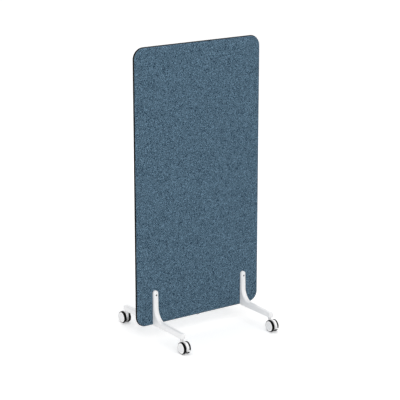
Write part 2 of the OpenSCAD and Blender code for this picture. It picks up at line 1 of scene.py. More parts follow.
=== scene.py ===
"""Looks of a rolling partition: an upholstered screen on cast feet with braked castors.

Lengths are metres. +X runs along the panel, -Y is its front, +Z is up.
"""

import logging
import math
from collections.abc import Iterable, Mapping
from dataclasses import dataclass, field
from enum import Enum, StrEnum

import bmesh
import bpy
import numpy as np
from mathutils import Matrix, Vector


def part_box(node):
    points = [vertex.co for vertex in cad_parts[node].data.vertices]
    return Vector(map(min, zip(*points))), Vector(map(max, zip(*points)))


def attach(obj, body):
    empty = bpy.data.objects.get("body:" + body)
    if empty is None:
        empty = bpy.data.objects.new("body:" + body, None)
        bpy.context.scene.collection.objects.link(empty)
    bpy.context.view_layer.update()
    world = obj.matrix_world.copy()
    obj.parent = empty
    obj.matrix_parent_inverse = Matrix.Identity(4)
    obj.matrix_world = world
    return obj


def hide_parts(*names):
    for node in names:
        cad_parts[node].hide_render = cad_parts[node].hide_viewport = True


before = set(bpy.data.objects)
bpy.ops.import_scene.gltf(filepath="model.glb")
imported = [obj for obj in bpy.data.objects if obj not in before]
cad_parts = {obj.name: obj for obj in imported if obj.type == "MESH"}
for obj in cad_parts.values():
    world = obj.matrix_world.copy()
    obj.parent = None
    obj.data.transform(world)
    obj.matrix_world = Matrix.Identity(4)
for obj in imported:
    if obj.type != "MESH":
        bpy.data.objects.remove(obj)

LOG = logging.getLogger("partition")
MM = 0.001

Array = np.ndarray
Material = bpy.types.Material
Socket = bpy.types.NodeSocket
Colour = tuple[float, float, float]
Value = float | Colour | Socket
Inputs = Mapping[str | int, Value]
Ramp = tuple[float, float, float, float]  # from low, from high, to low, to high

WHITE: Colour = (1.0, 1.0, 1.0)
NOISE_RANGE = (0.3, 0.7)  # what nearly all cloudy noise lies between


def srgb(red: float, green: float, blue: float) -> Colour:
    """Turns a screen's colour, from 0 to 255, into the linear one that a shader takes.

    Each channel c from 0 to 1 becomes ((c + 0.055) / 1.055) to the power 2.4, or c / 12.92
    where it is dark.

    Args:
        red: Red, 0 to 255.
        green: Green, 0 to 255.
        blue: Blue, 0 to 255.

    Returns:
        The linear colour.
    """
    channels = np.array([red, green, blue]) / 255
    bright = ((channels + 0.055) / 1.055) ** 2.4
    linear = np.where(channels > 0.04045, bright, channels / 12.92)
    return tuple(float(channel) for channel in linear)


# ---------- finishes ----------


class Tree:
    """A node tree, with short calls for the nodes used here."""

    def __init__(self, owner: Material | bpy.types.World) -> None:
        """Empties the tree of a material or of a world.

        Args:
            owner: The material or world whose tree it is.
        """
        owner.use_nodes = True
        self.owner = owner
        self.nodes = owner.node_tree.nodes
        self.links = owner.node_tree.links
        self.nodes.clear()

    def feed(self, socket: Socket, value: Value) -> None:
        """Links another node's output to a socket, or writes a plain value into it.

        Args:
            socket: The socket to feed.
            value: Another node's output, or a plain value.
        """
        if isinstance(value, Socket):
            self.links.new(value, socket)
        elif socket.type == "RGBA":
            socket.default_value = (*value, 1.0)
        else:
            socket.default_value = value

    def add(self, kind: str, inputs: Inputs, **settings: object) -> bpy.types.Node:
        """Adds a node of a kind, feeds its sockets by name or number and sets its properties.

        Args:
            kind: The node's type.
            inputs: What goes into its sockets, by name or number.
            settings: The node's properties.

        Returns:
            The node.
        """
        node = self.nodes.new(kind)
        for name, value in settings.items():
            setattr(node, name, value)
        for name, value in inputs.items():
            self.feed(node.inputs[name], value)
        return node

    def place(self, kind: str = "Object") -> Socket:
        """Place in metres on the piece, or as "UV" along the cloth's own two directions."""
        return self.add("ShaderNodeTexCoord", {}).outputs[kind]

    def scaled(self, place: Socket, scale: Colour) -> Socket:
        """A place stretched by a factor along each axis."""
        return self.add("ShaderNodeMapping", {"Vector": place, "Scale": scale}).outputs["Vector"]

    def noise(self, place: Socket, per_metre: float, detail: float) -> Socket:
        """Cloudy noise from 0 to 1, by clouds per metre and the finer layers on them."""
        inputs = {"Vector": place, "Scale": per_metre, "Detail": detail}
        return self.add("ShaderNodeTexNoise", inputs).outputs["Fac"]

    def math(self, operation: str, *terms: Value) -> Socket:
        """One step of arithmetic on one, two or three numbers."""
        return self.add("ShaderNodeMath", dict(enumerate(terms)), operation=operation).outputs[0]

    def stretch(self, value: Value, ramp: Ramp) -> Socket:
        """Takes one range of numbers to another in a straight line, and clamps it.

        Args:
            value: The number.
            ramp: The range it comes from and the one it goes to.

        Returns:
            The number in its new range.
        """
        names = ("From Min", "From Max", "To Min", "To Max")
        inputs = {"Value": value, **dict(zip(names, ramp))}
        return self.add("ShaderNodeMapRange", inputs).outputs["Result"]

    def mix(self, share: Value, low: Value, high: Value) -> Socket:
        """A number between two others, by a share from 0 to 1."""
        inputs = {0: share, 2: low, 3: high}
        return self.add("ShaderNodeMix", inputs, data_type="FLOAT").outputs[0]

    def between(self, share: Value, low: Value, high: Value) -> Socket:
        """A colour between two others, by a share from 0 to 1.

        Args:
            share: Share of the second colour.
            low: The first colour.
            high: The second colour.

        Returns:
            The mixed colour.
        """
        node = self.add("ShaderNodeMix", {}, data_type="RGBA")
        for socket, value in (("Factor_Float", share), ("A_Color", low), ("B_Color", high)):
            self.feed(next(s for s in node.inputs if s.identifier == socket), value)
        return next(s for s in node.outputs if s.identifier == "Result_Color")

    def seen(self) -> Socket:
        """1 for the camera's rays, straight, by reflection or through glass, and 0 for light.

        Returns:
            The factor, 1 or 0.
        """
        rays = self.add("ShaderNodeLightPath", {}).outputs
        seen = self.math("MAXIMUM", rays["Is Camera Ray"], rays["Is Glossy Ray"])
        return self.math("MAXIMUM", seen, rays["Is Transmission Ray"])


class Shading(Tree):
    """The tree of one material, which ends in a principled shader."""

    def __init__(self, name: str) -> None:
        """Starts the material.

        Args:
            name: The material's name.
        """
        super().__init__(bpy.data.materials.new(name))
        self.shader = self.add("ShaderNodeBsdfPrincipled", {})
        self.add("ShaderNodeOutputMaterial", {"Surface": self.shader.outputs["BSDF"]})

    def raised(self, height: Socket, distance: float, strength: float = 1.0) -> None:
        """Lets the surface stand proud by a height from 0 to 1, times a distance in metres.

        Args:
            height: The height, from 0 to 1.
            distance: What a height of 1 stands proud, in metres.
            strength: Share of the relief that shows.
        """
        inputs = {"Height": height, "Distance": distance, "Strength": strength}
        normal = self.add("ShaderNodeBump", inputs).outputs["Normal"]
        self.feed(self.shader.inputs["Normal"], normal)

    def shade(self, **sockets: Value) -> Material:
        """Sets the shader's sockets, with underscores for spaces, and returns the material.

        Args:
            sockets: What goes into the shader's sockets.

        Returns:
            The material.
        """
        for name, value in sockets.items():
            self.feed(self.shader.inputs[name.replace("_", " ")], value)
        return self.owner


@dataclass(frozen=True)
class MelangeCloth:
    """Wool-like cloth: a plain weave of yarns whose tone changes from stretch to stretch."""

    dark: Colour = srgb(3, 18, 38)
    middle: Colour = srgb(46, 77, 100)
    light: Colour = srgb(134, 168, 191)
    teal: Colour = srgb(40, 83, 98)
    sheen: Colour = srgb(170, 190, 205)
    yarn: float = 1.25 * MM
    stretch: float = 5.0 * MM
    fibre: float = 0.25 * MM
    fibre_slimness: float = 0.12
    relief: float = 0.28 * MM
    fibre_tone: Ramp = (*NOISE_RANGE, -0.24, 0.24)
    broad_tone: Ramp = (*NOISE_RANGE, -0.02, 0.02)
    broad: float = 7.0
    dark_to_middle: Ramp = (0.28, 0.50, 0.0, 1.0)
    middle_to_light: Ramp = (0.50, 0.70, 0.0, 1.0)
    tint: Ramp = (0.50, 0.66, 0.0, 0.25)
    crossing: Ramp = (-0.15, 0.15, 0.0, 1.0)
    # Painted shade on the yarns' sides: from the side profile to the share of the dark tone.
    painted_yarn_shade: Ramp = (0.10, 0.75, 0.75, 0.0)

    def yarn_tone(self, tree: Tree, place: Socket, along: int) -> Socket:
        """Tone of the yarns that run along one axis, by chance for each stretch of a yarn.

        Yarn number i is the whole part of across / yarn, and its stretch number the whole part
        of (along / stretch + chance of i). Fine fibres of other tones lie along each yarn.

        Args:
            tree: The tree to build in.
            place: Place on the cloth.
            along: Axis that the yarns run along, 0 or 1.

        Returns:
            The tone.
        """
        split = tree.add("ShaderNodeSeparateXYZ", {0: place}).outputs
        number = tree.math("FLOOR", tree.math("DIVIDE", split[1 - along], self.yarn))
        start = tree.add("ShaderNodeTexWhiteNoise", {"W": number}, noise_dimensions="1D")
        chance = start.outputs["Value"]
        walked = tree.math("MULTIPLY_ADD", split[along], 1 / self.stretch, chance)
        cell = {0: number, 1: tree.math("FLOOR", walked), 2: float(along)}
        spot = tree.add("ShaderNodeCombineXYZ", cell).outputs[0]
        chance = tree.add("ShaderNodeTexWhiteNoise", {"Vector": spot}).outputs["Value"]
        scale = [1 / self.fibre, 1 / self.fibre, 1.0]
        scale[along] = self.fibre_slimness / self.fibre
        fibres = tree.noise(tree.scaled(place, tuple(scale)), 1.0, 1.0)
        return tree.math("ADD", chance, tree.stretch(fibres, self.fibre_tone))

    def material(self) -> Material:
        """Lays warp and weft over each other, paints shade on the yarns' sides where they dip,
        and raises the weave.

        Returns:
            The material.
        """
        tree = Shading("cover_fabric")
        place = tree.place("UV")
        split = tree.add("ShaderNodeSeparateXYZ", {0: place}).outputs
        warp_wave, weft_wave = (
            tree.math("SINE", tree.math("MULTIPLY", split[axis], math.pi / self.yarn))
            for axis in (0, 1)
        )
        over = tree.math("MULTIPLY", warp_wave, weft_wave)
        warp_on_top = tree.stretch(over, self.crossing)
        warp, weft = self.yarn_tone(tree, place, 1), self.yarn_tone(tree, place, 0)
        broad = tree.noise(place, 1 / (self.broad * self.stretch), 2.0)
        tone = tree.math(
            "ADD", tree.mix(warp_on_top, weft, warp), tree.stretch(broad, self.broad_tone)
        )
        lower = tree.between(tree.stretch(tone, self.dark_to_middle), self.dark, self.middle)
        colour = tree.between(tree.stretch(tone, self.middle_to_light), lower, self.light)
        clouds = tree.noise(place, 1 / (2 * self.stretch), 1.0)
        colour = tree.between(tree.stretch(clouds, self.tint), colour, self.teal)
        # Painted shade: the colour darkens towards the dark tone on each yarn's sides, where the
        # weave dips.
        warp_side, weft_side = tree.math("ABSOLUTE", warp_wave), tree.math("ABSOLUTE", weft_wave)
        side = tree.mix(warp_on_top, weft_side, warp_side)
        colour = tree.between(tree.stretch(side, self.painted_yarn_shade), colour, self.dark)
        fuzz = tree.noise(place, 0.5 / self.fibre, 2.0)
        proud = tree.math("ABSOLUTE", over)
        height = tree.math("MULTIPLY_ADD", proud, 0.7, tree.math("MULTIPLY", fuzz, 0.5))
        tree.raised(height, self.relief, 0.7)
        return tree.shade(
            Base_Color=colour, Roughness=0.92, Sheen_Weight=0.12, Sheen_Roughness=0.45,
            Sheen_Tint=self.sheen, Specular_IOR_Level=0.15,
        )


@dataclass(frozen=True)
class ZipTape:
    """Woven zip tape in a herringbone, near black with brown threads in it."""

    black: Colour = srgb(9, 9, 9)
    brown: Colour = srgb(27, 23, 20)
    rib: float = 0.62 * MM
    turn: float = 1.9 * MM
    relief: float = 0.10 * MM

    def material(self) -> Material:
        """Runs slanted ribs that turn back and forth across the tape.

        Returns:
            The material.
        """
        tree = Shading("zip_tape")
        split = tree.add("ShaderNodeSeparateXYZ", {0: tree.place("UV")}).outputs
        slanted = tree.math("ADD", split[0], tree.math("PINGPONG", split[1], self.turn))
        rib = tree.math("SINE", tree.math("MULTIPLY", slanted, 2 * math.pi / self.rib))
        thread = tree.stretch(rib, (-1.0, 1.0, 0.0, 1.0))
        tree.raised(thread, self.relief, 0.8)
        return tree.shade(
            Base_Color=tree.between(thread, self.black, self.brown),
            Roughness=0.9, Specular_IOR_Level=0.12,
        )


@dataclass(frozen=True)
class Pattern:
    """Cloudy noise on a piece: clouds per metre, finer layers, and more clouds by axis."""

    per_metre: float
    detail: float
    by_axis: Colour = (1.0, 1.0, 1.0)

    def on(self, tree: Tree) -> Socket:
        """The noise, from 0 to 1."""
        return tree.noise(tree.scaled(tree.place(), self.by_axis), self.per_metre, self.detail)


@dataclass(frozen=True)
class Mottled:
    """Two colours that drift into each other, under a fine relief.

    The second colour's share follows the drift, and the roughness the drift or the grain.
    """

    name: str
    colours: tuple[Colour, Colour]
    drift: Pattern
    grain: Pattern
    relief: float
    roughness: tuple[float, float]
    noise_range: tuple[float, float] = NOISE_RANGE
    share: Ramp = (0.0, 1.0, 0.0, 1.0)
    strength: float = 1.0
    rough_by_grain: bool = False
    others: Mapping[str, float] = field(default_factory=dict)

    def material(self) -> Material:
        """Builds the material.

        Returns:
            The material.
        """
        tree = Shading(self.name)
        drift, grain = self.drift.on(tree), self.grain.on(tree)
        tree.raised(grain, self.relief, self.strength)
        rough = (*self.noise_range, *self.roughness)
        rough = tree.stretch(grain if self.rough_by_grain else drift, rough)
        colour = tree.between(tree.stretch(drift, self.share), *self.colours)
        return tree.shade(Base_Color=colour, Roughness=rough, **self.others)


def moulded(name: str, colour: Colour, flow: Colour, rough: float, gloss: float = 0.5) -> Mottled:
    """Moulded plastic: nearly one colour, with faint marks along the flow of the melt.

    Args:
        name: The material's name.
        colour: The plastic's own colour.
        flow: Colour of the flow marks.
        rough: Middle roughness.
        gloss: Level of the specular reflection.

    Returns:
        The finish.
    """
    return Mottled(
        name, (colour, flow), drift=Pattern(60.0, 2.0, (1.0, 1.0, 3.5)),
        grain=Pattern(1 / (0.35 * MM), 2.0), relief=0.004 * MM,
        roughness=(rough - 0.03, rough + 0.05), others={"Specular_IOR_Level": gloss},
    )


def steel(name: str, bright: Colour, dull: Colour, rough: float, metallic: float) -> Mottled:
    """Plated or blackened steel with fine turning marks.

    Args:
        name: The material's name.
        bright: Colour of the cut crests.
        dull: Colour between them.
        rough: Middle roughness.
        metallic: 1 for bare metal, less under a blackened skin.

    Returns:
        The finish.
    """
    return Mottled(
        name, (bright, dull), drift=Pattern(240.0, 4.0),
        grain=Pattern(100.0, 2.0, (9.0, 9.0, 52.0)), relief=0.006 * MM,
        roughness=(rough - 0.05, rough + 0.07), others={"Metallic": metallic},
    )


def matted(name: str, light: Colour, dark: Colour, fibre: float, relief: float) -> Mottled:
    """Felted or pressed fibres: wadding and core board.

    Args:
        name: The material's name.
        light: Colour of the upper fibres.
        dark: Colour of the lower ones, darker as painted shade in the hollows between fibres.
        fibre: Width of a fibre.
        relief: Height of the fibres.

    Returns:
        The finish.
    """
    # The colour follows the relief's own noise, so the sunken fibres carry painted shade.
    fibres = Pattern(1 / fibre, 4.0, (1.0, 1.0, 0.4))
    return Mottled(
        name, (dark, light), drift=fibres, grain=fibres, relief=relief, strength=0.7,
        roughness=(0.95, 0.95), share=(0.35, 0.65, 0.0, 1.0), others={"Sheen_Weight": 0.1},
    )


def timber(name: str, rings: Colour) -> Mottled:
    """Planed softwood without a finish, by its rings per metre along each axis.

    Args:
        name: The material's name.
        rings: Rings per metre along each axis.

    Returns:
        The finish.
    """
    return Mottled(
        name, (srgb(226, 200, 158), srgb(190, 152, 104)), drift=Pattern(1.0, 4.0, rings),
        grain=Pattern(9.0, 2.0, rings), relief=0.06 * MM, share=(0.35, 0.65, 0.0, 1.0),
        roughness=(0.55, 0.75), rough_by_grain=True,
    )


PLIES = Pattern(2600.0, 1.0, (1.0, 1.0, 2.0))  # the twisted strands of a sewing thread


class Look(Enum):
    """Every finish of the object."""

    CLOTH = MelangeCloth()
    TAPE = ZipTape()
    THREAD = Mottled(
        "cover_thread", (srgb(40, 58, 74), srgb(74, 98, 116)), drift=PLIES, grain=PLIES,
        relief=0.05 * MM, roughness=(0.7, 0.7),
        others={"Sheen_Weight": 0.2, "Sheen_Roughness": 0.4},
    )
    COAT = Mottled(
        "foot_coat", (srgb(250, 250, 250), srgb(246, 246, 247)),
        drift=Pattern(28.0, 3.0), grain=Pattern(1 / (1.1 * MM), 1.0),
        relief=0.012 * MM, roughness=(0.36, 0.46),
        others={"Coat_Weight": 0.12, "Coat_Roughness": 0.25},
    )
    RUBBER = Mottled(
        "tyre_rubber", (srgb(8, 8, 8), srgb(20, 20, 19)),
        drift=Pattern(160.0, 5.0), grain=Pattern(1 / (0.6 * MM), 2.0),
        relief=0.02 * MM, roughness=(0.70, 0.85), noise_range=(0.55, 0.80),
        share=(0.55, 0.80, 0.0, 0.4), others={"Specular_IOR_Level": 0.06},
    )
    TEETH = moulded("zip_teeth", srgb(10, 10, 10), srgb(20, 18, 17), 0.55, 0.08)
    PLASTIC = moulded("castor_plastic", srgb(253, 253, 253), srgb(251, 251, 251), 0.28)
    CAP = moulded("cap_plastic", srgb(246, 246, 247), srgb(240, 241, 242), 0.40)
    ZINC = steel("zinc_steel", srgb(198, 200, 202), srgb(168, 170, 174), 0.34, 1.0)
    OXIDE = steel("black_steel", srgb(52, 52, 54), srgb(30, 30, 32), 0.45, 0.7)
    FELT = matted("wadding", srgb(236, 235, 230), srgb(205, 204, 198), 2.2 * MM, 0.3 * MM)
    CORE = matted("core", srgb(214, 210, 196), srgb(168, 164, 150), 3.5 * MM, 0.25 * MM)
    RAIL = timber("timber_along", (6.0, 160.0, 160.0))
    POST = timber("timber_up", (160.0, 160.0, 6.0))


Materials = Mapping[Look, Material]


# ---------- surfaces ----------


WELD = 1e-6  # points of a surface closer than this become one


@dataclass
class Skin:
    """Points, faces and a place on the cloth for each face corner, before they are a mesh."""

    points: Array
    faces: Array
    places: Array

    @staticmethod
    def grid(points: Array, places: Array | None = None, closed: bool = False) -> "Skin":
        """A surface of quads over a grid: (r, c), (r, c+1), (r+1, c+1), (r+1, c).

        Args:
            points: Array of rows, columns and 3. Faces look along columns crossed with rows.
            places: Array of rows, columns and 2, with one column more where it is closed.
            closed: Whether the last column joins the first.

        Returns:
            The surface.
        """
        rows, columns = points.shape[:2]
        if places is None:
            places = np.zeros((rows, columns + closed, 2))
        wide = places.shape[1]
        r, c = np.meshgrid(np.arange(rows - 1), np.arange(wide - 1), indexing="ij")
        corners = [(r, c), (r, c + 1), (r + 1, c + 1), (r + 1, c)]
        faces = np.stack([row * columns + column % columns for row, column in corners], axis=-1)
        spots = np.stack([row * wide + column for row, column in corners], axis=-1)
        flat_places = places.reshape(-1, 2)[spots.reshape(-1, 4)]
        return Skin(points.reshape(-1, 3), faces.reshape(-1, 4), flat_places)

    @staticmethod
    def copies(template: "Skin", frames: Array, origins: Array) -> "Skin":
        """One shape repeated: point = origin + x * first axis + y * second + z * third.

        Args:
            template: The shape in its own axes.
            frames: Array of copies, 3 and 3, whose rows are each copy's three axes.
            origins: Array of copies and 3.

        Returns:
            All the copies as one surface.
        """
        count, size = len(origins), len(template.points)
        points = np.einsum("vi,nij->nvj", template.points, frames) + origins[:, None, :]
        faces = template.faces[None] + size * np.arange(count)[:, None, None]
        places = np.broadcast_to(template.places, (count, *template.places.shape))
        return Skin(points.reshape(-1, 3), faces.reshape(-1, 4), places.reshape(-1, 4, 2))

    @staticmethod
    def joined(skins: list["Skin"]) -> "Skin":
        """Several surfaces as one.

        Args:
            skins: The surfaces.

        Returns:
            One surface that holds them all.
        """
        starts = np.cumsum([0] + [len(skin.points) for skin in skins[:-1]])
        return Skin(
            np.concatenate([skin.points for skin in skins]),
            np.concatenate([skin.faces + start for skin, start in zip(skins, starts)]),
            np.concatenate([skin.places for skin in skins]),
        )

    def turned_over(self) -> "Skin":
        """The same surface with its faces looking the other way."""
        return Skin(self.points, self.faces[:, ::-1], self.places[:, ::-1])

    def mirrored(self, axis: int) -> "Skin":
        """The surface mirrored through the origin along one axis, its faces still outwards.

        Args:
            axis: The axis that changes its sign.

        Returns:
            The mirrored surface.
        """
        sign = np.ones(3)
        sign[axis] = -1
        return Skin(self.points * sign, self.faces, self.places).turned_over()

    def piece(self, name: str, material: Material) -> bpy.types.Object:
        """Makes the object at the origin, closes what meets, and drops faces without area.

        Args:
            name: The object's name.
            material: Its finish.

        Returns:
            The object.
        """
        mesh = bpy.data.meshes.new(name)
        mesh.vertices.add(len(self.points))
        mesh.vertices.foreach_set("co", self.points.astype(np.float32).ravel())
        mesh.loops.add(self.faces.size)
        mesh.loops.foreach_set("vertex_index", self.faces.astype(np.int32).ravel())
        mesh.polygons.add(len(self.faces))
        starts = np.arange(0, self.faces.size, 4, dtype=np.int32)
        mesh.polygons.foreach_set("loop_start", starts)
        cloth = mesh.uv_layers.new(name="cloth").data
        cloth.foreach_set("uv", self.places.astype(np.float32).ravel())
        mesh.update(calc_edges=True)
        shape = bmesh.new()
        shape.from_mesh(mesh)
        bmesh.ops.remove_doubles(shape, verts=shape.verts, dist=WELD)
        shape.to_mesh(mesh)
        shape.free()
        mesh.polygons.foreach_set("use_smooth", np.ones(len(mesh.polygons), dtype=bool))
        mesh.validate()
        mesh.update()
        mesh.materials.append(material)
        piece = bpy.data.objects.new(name, mesh)
        bpy.context.scene.collection.objects.link(piece)
        return piece


def smooth_step(share: Array) -> Array:
    """0 below 0 and 1 above 1, with s * s * (3 - 2 * s) between."""
    s = np.clip(share, 0, 1)
    return s * s * (3 - 2 * s)


def eased_ring(corners: Array, cuts: Array) -> Array:
    """Rounds the corners of a closed profile, and ends it with its first point.

    Each corner P gives way to the curve (1-t)^2 A + 2t(1-t) P + t^2 B, where A and B lie on the
    two edges, a cut away from P but at most halfway, and t runs from 0 to 1 in four steps.

    Args:
        corners: The profile's corners, one in a row.
        cuts: How far each corner is cut back along its sides.

    Returns:
        The rounded profile's points, one in a row.
    """
    edges = [np.roll(corners, step, axis=0) - corners for step in (1, -1)]
    lengths = [np.linalg.norm(edge, axis=1, keepdims=True) for edge in edges]
    reach = np.minimum(cuts[:, None], 0.49 * np.minimum(*lengths))
    start, end = (corners + reach * edge / length for edge, length in zip(edges, lengths))
    t = np.linspace(0, 1, 5)[None, :, None]
    bow = (1 - t) ** 2 * start[:, None] + 2 * t * (1 - t) * corners[:, None]
    ring = (bow + t ** 2 * end[:, None]).reshape(-1, 2)
    return np.concatenate([ring, ring[:1]])


@dataclass(frozen=True)
class Outline:
    """A rounded rectangle in the panel's plane, walked from the middle of its lower side.

    The centre of curvature and the heading are both piecewise linear in the distance walked:
    on a straight side the centre moves and the heading stays, in a corner the other way round.
    """

    half_width: float
    half_height: float
    radius: float
    middle_z: float

    @property
    def length(self) -> float:
        """Length of the whole round."""
        straight = self.half_width + self.half_height - 2 * self.radius
        return 4 * straight + 2 * math.pi * self.radius

    def count(self, pitch: float, out: float) -> int:
        """How often a pitch goes round, at so much further out."""
        return round((self.length + 2 * math.pi * out) / pitch)

    def walk(self, distance: Array) -> tuple[Array, Array]:
        """Points along the outline.

        Args:
            distance: Distances walked, of any shape. Anticlockwise seen from the front.

        Returns:
            Points and outward normals, each with a last axis of x and z.
        """
        a = self.half_width - self.radius
        b = self.half_height - self.radius
        q = math.pi / 2 * self.radius
        knots = np.cumsum([0, a, q, 2 * b, q, 2 * a, q, 2 * b, q, a])
        heading = np.repeat([-90.0, 0.0, 90.0, 180.0, 270.0], 2)
        centre_x = np.array([0, a, a, a, a, -a, -a, -a, -a, 0])
        centre_z = np.array([-b, -b, -b, b, b, b, b, -b, -b, -b])
        s = np.mod(distance, self.length)
        angle = np.radians(np.interp(s, knots, heading))
        normal = np.stack([np.cos(angle), np.sin(angle)], axis=-1)
        centre = np.stack([np.interp(s, knots, line) for line in (centre_x, centre_z)], axis=-1)
        return centre + self.radius * normal + np.array([0, self.middle_z]), normal


@dataclass(frozen=True)
class PanelShape:
    """Sizes of the panel, all read from the frame's own pieces."""

    half_width: float
    half_height: float
    half_thickness: float
    corner: float
    middle_z: float
    zip_half_width: float
    foot_x: float
    foot_half_width: float
    foot_top: float

    @staticmethod
    def measured() -> "PanelShape":
        """Reads the covers, the top rail and a foot.

        Returns:
            The panel's sizes.
        """
        low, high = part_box("front_cover")
        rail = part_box("top_rail")[1]
        foot_low, foot_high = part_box("front_right_foot")
        return PanelShape(
            half_width=high.x,
            half_height=(high.z - low.z) / 2,
            half_thickness=-low.y,
            corner=high.x - rail.x,
            middle_z=(high.z + low.z) / 2,
            zip_half_width=-high.y,
            foot_x=(foot_low.x + foot_high.x) / 2,
            foot_half_width=(foot_high.x - foot_low.x) / 2,
            foot_top=foot_high.z,
        )

    @property
    def rim(self) -> Outline:
        """The rim of the flat face, where the round edge begins."""
        r = self.half_thickness
        return Outline(self.half_width - r, self.half_height - r, self.corner - r, self.middle_z)

    @property
    def hem_start(self) -> float:
        """Turn round the edge at which the covers stop and the zip begins."""
        return math.asin(self.zip_half_width / self.half_thickness)

    def beside_feet(self, x: Array, z: Array) -> Array:
        """Distance from the nearer foot's upright: from a strip with a half-round top.

        Args:
            x: Places along the panel.
            z: Heights above the floor.

        Returns:
            The distances, below zero under a foot.
        """
        across = np.abs(np.abs(x) - self.foot_x)
        above = np.maximum(z - (self.foot_top - self.foot_half_width), 0)
        return np.hypot(across, above) - self.foot_half_width

    def round_edge(self, distance: Array, radius: Array, angle: Array) -> Array:
        """Points on the half-round edge: base + radius * (cos(angle) out, sin(angle) front).

        Args:
            distance: Distance walked along the face's rim.
            radius: Distance from the axis of the half round.
            angle: Turn from straight out, 0, to the front face, half pi.

        Returns:
            Points, with x, y and z last.
        """
        distance, radius, angle = np.broadcast_arrays(distance, radius, angle)
        base, out = self.rim.walk(distance)
        flat = base + (radius * np.cos(angle))[..., None] * out
        return np.stack([flat[..., 0], -radius * np.sin(angle), flat[..., 1]], axis=-1)

    def evenly(self, count: int) -> Array:
        """So many distances, spread evenly round the face's rim."""
        return np.arange(count) * self.rim.length / count

    def edge_axes(self, distance: Array) -> tuple[Array, Array]:
        """Unit directions along the panel's edge and straight out of it.

        Args:
            distance: Distances walked along the face's rim.

        Returns:
            The directions along the edge and those out of it, with x, y and z last.
        """
        _, out = self.rim.walk(distance)
        none = np.zeros(len(distance))
        along = np.stack([-out[:, 1], none, out[:, 0]], axis=-1)
        return along, np.stack([out[:, 0], none, out[:, 1]], axis=-1)


# ---------- upholstery ----------


class Side(StrEnum):
    """Which face of the panel a layer covers."""

    FRONT = "front"
    BACK = "back"


